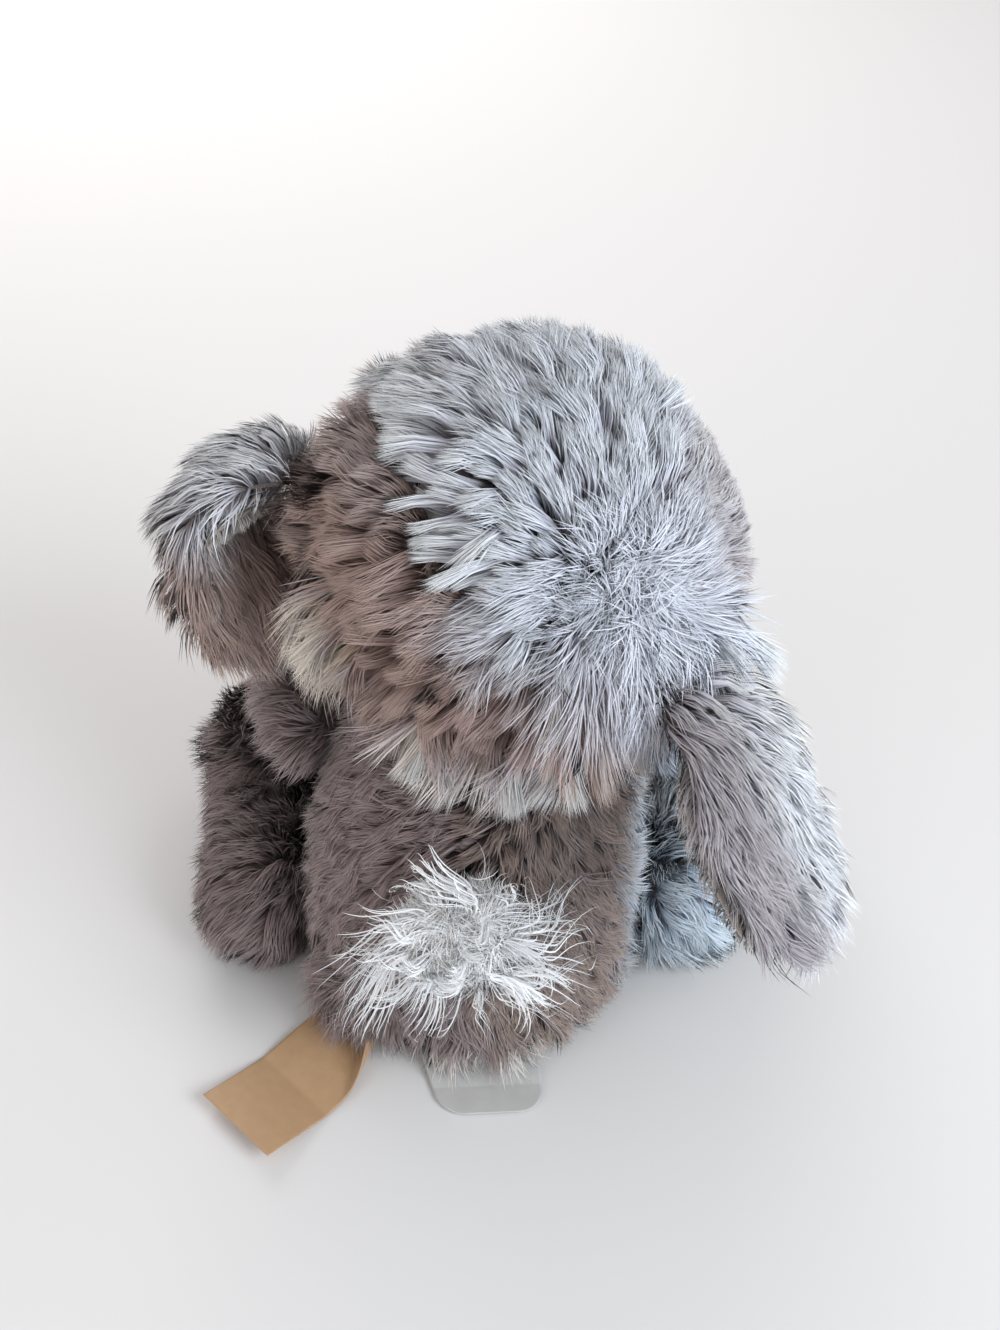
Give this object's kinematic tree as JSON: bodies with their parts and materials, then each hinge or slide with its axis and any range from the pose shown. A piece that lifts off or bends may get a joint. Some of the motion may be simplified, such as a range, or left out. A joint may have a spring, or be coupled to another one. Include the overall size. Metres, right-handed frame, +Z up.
{
  "type": "plush bunny",
  "caption": "Seated plush bunny with long warm-grey fur, lop ears, a curly pale tail and two sewn-in labels; head, ears, arms, legs, tail and labels move",
  "frame": {"origin": "on the table, at the middle of the body's flat seat", "axes": "+Z up, the bunny's body faces -Y, its own left is +X"},
  "size_m": [0.1692, 0.1476, 0.1966],
  "materials": {
    "fur": "long faux fur, warm grey with darker roots",
    "short_fur": "short pale pile",
    "tail_yarn": "loose curly yarn",
    "filling": "polyester wadding",
    "pellet_bag": "cotton bag of pellets",
    "thread": "sewing thread",
    "nose_flock": "flocked",
    "eye": "polished",
    "washer": "moulded",
    "care_label_satin": "tan satin ribbon",
    "white_label_satin": "white satin ribbon"
  },
  "bodies": {
    "torso": {"body_skin": "fur", "body_stuffing": "filling", "pellet_bag": "pellet_bag"},
    "neck": {"neck_seam": "thread"},
    "head": {"head_skin": "fur", "head_stuffing": "filling", "muzzle": "short_fur", "nose": "nose_flock", "eye_left": "eye", "eye_right": "eye", "eye_washer_left": "washer", "eye_washer_right": "washer"},
    "ear_left": {"ear_left": "fur", "ear_left_lining": "short_fur"},
    "ear_right": {"ear_right": "fur", "ear_right_lining": "short_fur"},
    "arm_left": {"arm_left": "fur", "arm_left_stuffing": "filling"},
    "arm_right": {"arm_right": "fur", "arm_right_stuffing": "filling"},
    "leg_left": {"leg_left": "fur", "leg_left_stuffing": "filling", "foot_pad_left": "short_fur"},
    "leg_right": {"leg_right": "fur", "leg_right_stuffing": "filling", "foot_pad_right": "short_fur"},
    "tail": {"tail": "tail_yarn"},
    "care_label": {"care_label": "care_label_satin"},
    "white_label": {"white_label": "white_label_satin"}
  },
  "joints": [
    {"name": "head_turn", "type": "hinge", "parent": "torso", "child": "neck", "pos_m": [-0.014, -0.009, 0.14465], "axis": [0, 0, 1], "range_deg": [-60, 90]},
    {"name": "head_nod", "type": "hinge", "parent": "neck", "child": "head", "pos_m": [-0.014, -0.009, 0.14465], "axis": [0.829, -0.5592, 0], "range_deg": [-12, 12]},
    {"name": "ear_left_flop", "type": "hinge", "parent": "head", "child": "ear_left", "pos_m": [0.04178, -0.02281, 0.15773], "axis": [-0.2036, -0.9437, -0.2608], "range_deg": [0, 60]},
    {"name": "ear_right_flop", "type": "hinge", "parent": "head", "child": "ear_right", "pos_m": [-0.04985, 0.03736, 0.13997], "axis": [0.65, 0.7402, 0.172], "range_deg": [0, 60]},
    {"name": "arm_left_swing", "type": "hinge", "parent": "torso", "child": "arm_left", "pos_m": [0.03612, -0.00901, 0.07912], "axis": [-0.9228, 0.2301, -0.309], "range_deg": [-30, 30]},
    {"name": "arm_right_swing", "type": "hinge", "parent": "torso", "child": "arm_right", "pos_m": [-0.04609, -0.01149, 0.079], "axis": [-0.9703, -0.2419, 0], "range_deg": [-30, 40]},
    {"name": "leg_left_swing", "type": "hinge", "parent": "torso", "child": "leg_left", "pos_m": [0.0475, -0.004, 0.0185], "axis": [-1, 0, 0], "range_deg": [-40, 10]},
    {"name": "leg_right_swing", "type": "hinge", "parent": "torso", "child": "leg_right", "pos_m": [-0.04725, -0.004, 0.0185], "axis": [-1, 0, 0], "range_deg": [-40, 10]},
    {"name": "tail_lift", "type": "hinge", "parent": "torso", "child": "tail", "pos_m": [0.002, 0.0398, 0.06218], "axis": [1, 0, 0], "range_deg": [0, 10]},
    {"name": "care_label_flap", "type": "hinge", "parent": "torso", "child": "care_label", "pos_m": [0.02726, 0.02823, 0.0024], "axis": [0.7193, -0.6947, 0], "range_deg": [0, 25]},
    {"name": "white_label_flap", "type": "hinge", "parent": "torso", "child": "white_label", "pos_m": [-0.00198, 0.03779, 0.0024], "axis": [0.9986, 0.0523, 0], "range_deg": [0, 25]}
  ]
}
